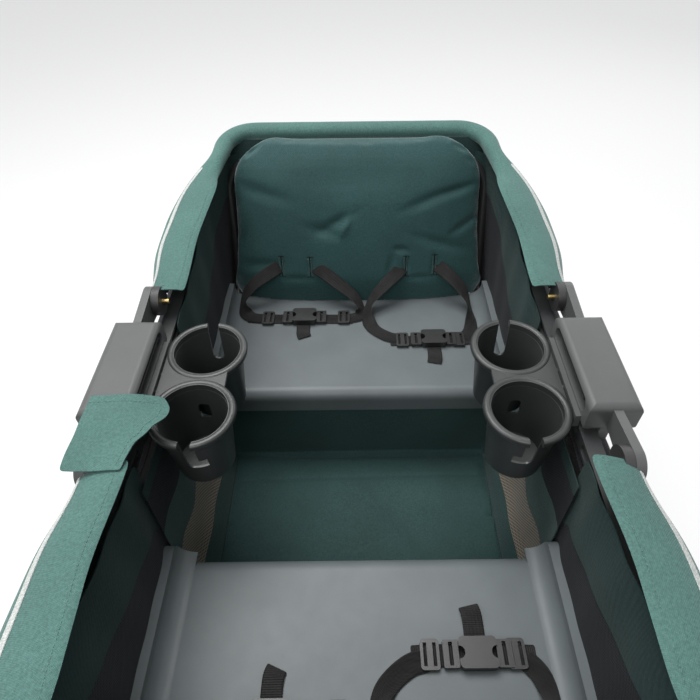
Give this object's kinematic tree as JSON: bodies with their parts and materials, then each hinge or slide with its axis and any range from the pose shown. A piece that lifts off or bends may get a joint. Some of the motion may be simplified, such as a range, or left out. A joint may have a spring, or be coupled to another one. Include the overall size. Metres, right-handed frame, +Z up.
{
  "type": "stroller wagon",
  "caption": "Folding stroller wagon with facing moulded benches, padded backrests, a footwell, cup trays on the side hubs, fold-back canopies, swivel front casters and a push handle.",
  "frame": {"origin": "middle of the wagon's bounding box on the ground", "axes": "+Y towards the caster end (front), +Z up, +X to the right when facing the front"},
  "size_m": [0.66, 1.2434, 1.0168],
  "materials": {
    "frame": "satin black powder coat",
    "bench": "satin grey moulding",
    "pad": "dark green woven cloth",
    "cover_cloth": "sage green cloth",
    "mesh": "dark grey mesh",
    "webbing": "black ribbed webbing",
    "buckle": "black plastic",
    "rail": "dark grey coat",
    "hub": "grey satin plastic",
    "bow": "black plastic bar",
    "board": "black board",
    "brass": "bright brass",
    "tyre": "black rubber",
    "wheel": "dark grey plastic",
    "fork": "black moulded plastic",
    "grip": "black foam rubber"
  },
  "bodies": {
    "rear_half": {"rear_post_left": "frame", "rear_post_right": "frame", "rear_cross_tube": "frame", "rear_seat_frame": "frame", "rear_back_frame": "frame", "rear_axle_beam": "frame", "rear_bench": "bench", "rear_backrest_pad": "pad", "rear_back_panel": "cover_cloth", "rear_side_walls": "mesh", "rear_harness": "webbing", "rear_buckles": "buckle", "rear_footwell_wall": "pad", "footwell_sides": "mesh"},
    "rear_rails": {"rear_rail_left": "rail", "rear_rail_right": "rail"},
    "hubs": {"left_hub": "hub", "right_hub": "hub", "canopy_screws": "brass"},
    "front_rails": {"front_rail_left": "rail", "front_rail_right": "rail"},
    "front_half": {"front_post_left": "frame", "front_post_right": "frame", "front_cross_tube": "frame", "front_seat_frame": "frame", "front_back_frame": "frame", "caster_beam": "frame", "front_bench": "bench", "front_backrest_pad": "pad", "front_back_panel": "cover_cloth", "front_side_walls": "mesh", "front_harness": "webbing", "front_buckles": "buckle", "front_footwell_wall": "pad"},
    "rear_board": {"rear_floor_board": "board", "floor_pad": "pad"},
    "front_board": {"front_floor_board": "board"},
    "left_release": {"left_paddle": "buckle"},
    "right_release": {"right_paddle": "buckle"},
    "left_tray": {"left_cup_tray": "hub"},
    "right_tray": {"right_cup_tray": "hub"},
    "front_canopy": {"front_canopy_bow": "bow", "front_canopy_cover": "cover_cloth"},
    "rear_canopy": {"rear_canopy_bow": "bow", "rear_canopy_cover": "cover_cloth"},
    "rear_wheel_left": {"rear_tyre_left": "tyre", "rear_rim_left": "wheel"},
    "rear_wheel_right": {"rear_tyre_right": "tyre", "rear_rim_right": "wheel"},
    "left_caster": {"left_caster_fork": "fork"},
    "right_caster": {"right_caster_fork": "fork"},
    "front_wheel_left": {"front_tyre_left": "tyre", "front_rim_left": "wheel"},
    "front_wheel_right": {"front_tyre_right": "tyre", "front_rim_right": "wheel"},
    "handle": {"push_handle": "frame", "handle_grip": "grip"},
    "left_button": {"left_handle_button": "hub"},
    "right_button": {"right_handle_button": "hub"},
    "brake": {"brake_pedal": "fork"}
  },
  "joints": [
    {"name": "fold", "type": "hinge", "parent": "rear_half", "child": "rear_rails", "pos_m": [0, -0.27171, 0.518], "axis": [1, 0, 0], "range_deg": [0, 48], "deforming": ["footwell_sides", "floor_pad"]},
    {"name": "hub_level", "type": "hinge", "parent": "rear_rails", "child": "hubs", "pos_m": [0, 0.02429, 0.518], "axis": [1, 0, 0], "range_deg": [-48, 0]},
    {"name": "front_rail_turn", "type": "hinge", "parent": "hubs", "child": "front_rails", "pos_m": [0, 0.14829, 0.518], "axis": [1, 0, 0], "range_deg": [-48, 0]},
    {"name": "front_half_level", "type": "hinge", "parent": "front_rails", "child": "front_half", "pos_m": [0, 0.44429, 0.518], "axis": [1, 0, 0], "range_deg": [0, 48]},
    {"name": "rear_board_fold", "type": "hinge", "parent": "rear_half", "child": "rear_board", "pos_m": [0, -0.07871, 0.1717], "axis": [1, 0, 0], "range_deg": [-67, 0]},
    {"name": "front_board_fold", "type": "hinge", "parent": "rear_board", "child": "front_board", "pos_m": [0, 0.08629, 0.1717], "axis": [1, 0, 0], "range_deg": [0, 133]},
    {"name": "front_canopy_turn", "type": "hinge", "parent": "hubs", "child": "front_canopy", "pos_m": [0, 0.22029, 0.555], "axis": [1, 0, 0], "range_deg": [0, 90]},
    {"name": "rear_canopy_turn", "type": "hinge", "parent": "hubs", "child": "rear_canopy", "pos_m": [0, -0.04771, 0.555], "axis": [-1, 0, 0], "range_deg": [0, 90]},
    {"name": "left_tray_lift", "type": "slide", "parent": "hubs", "child": "left_tray", "axis": [0, 0, 1], "range_m": [0, 0.12]},
    {"name": "right_tray_lift", "type": "slide", "parent": "hubs", "child": "right_tray", "axis": [0, 0, 1], "range_m": [0, 0.12]},
    {"name": "left_release_squeeze", "type": "slide", "parent": "hubs", "child": "left_release", "axis": [0, 0, 1], "range_m": [0, 0.003], "stiffness_N_per_m": 600, "springref_m": -0.003},
    {"name": "right_release_squeeze", "type": "slide", "parent": "hubs", "child": "right_release", "axis": [0, 0, 1], "range_m": [0, 0.003], "stiffness_N_per_m": 600, "springref_m": -0.003},
    {"name": "rear_wheel_left_spin", "type": "hinge", "parent": "rear_half", "child": "rear_wheel_left", "pos_m": [-0.3, -0.32371, 0.12], "axis": [1, 0, 0], "continuous": true},
    {"name": "rear_wheel_right_spin", "type": "hinge", "parent": "rear_half", "child": "rear_wheel_right", "pos_m": [0.3, -0.32371, 0.12], "axis": [1, 0, 0], "continuous": true},
    {"name": "left_caster_swivel", "type": "hinge", "parent": "front_half", "child": "left_caster", "pos_m": [-0.245, 0.49629, 0.23], "axis": [0, 0, 1], "continuous": true},
    {"name": "right_caster_swivel", "type": "hinge", "parent": "front_half", "child": "right_caster", "pos_m": [0.245, 0.49629, 0.23], "axis": [0, 0, 1], "continuous": true},
    {"name": "front_wheel_left_spin", "type": "hinge", "parent": "left_caster", "child": "front_wheel_left", "pos_m": [-0.245, 0.45429, 0.1], "axis": [1, 0, 0], "continuous": true},
    {"name": "front_wheel_right_spin", "type": "hinge", "parent": "right_caster", "child": "front_wheel_right", "pos_m": [0.245, 0.45429, 0.1], "axis": [1, 0, 0], "continuous": true},
    {"name": "handle_turn", "type": "hinge", "parent": "rear_half", "child": "handle", "pos_m": [0, -0.39371, 0.42], "axis": [1, 0, 0], "range_deg": [0, 100]},
    {"name": "left_button_press", "type": "slide", "parent": "handle", "child": "left_button", "axis": [1, 0, 0], "range_m": [0, 0.003], "stiffness_N_per_m": 800, "springref_m": -0.002},
    {"name": "right_button_press", "type": "slide", "parent": "handle", "child": "right_button", "axis": [-1, 0, 0], "range_m": [0, 0.003], "stiffness_N_per_m": 800, "springref_m": -0.002},
    {"name": "brake_press", "type": "hinge", "parent": "rear_half", "child": "brake", "pos_m": [0, -0.32371, 0.12], "axis": [1, 0, 0], "range_deg": [0, 25]}
  ],
  "couplings": [
    {"joint": "hub_level", "follows": "fold", "ratio": -1},
    {"joint": "front_rail_turn", "follows": "fold", "ratio": -1},
    {"joint": "front_half_level", "follows": "fold", "ratio": 1},
    {"joint": "rear_board_fold", "follows": "fold", "ratio": -1.376},
    {"joint": "front_board_fold", "follows": "fold", "ratio": 2.752}
  ]
}
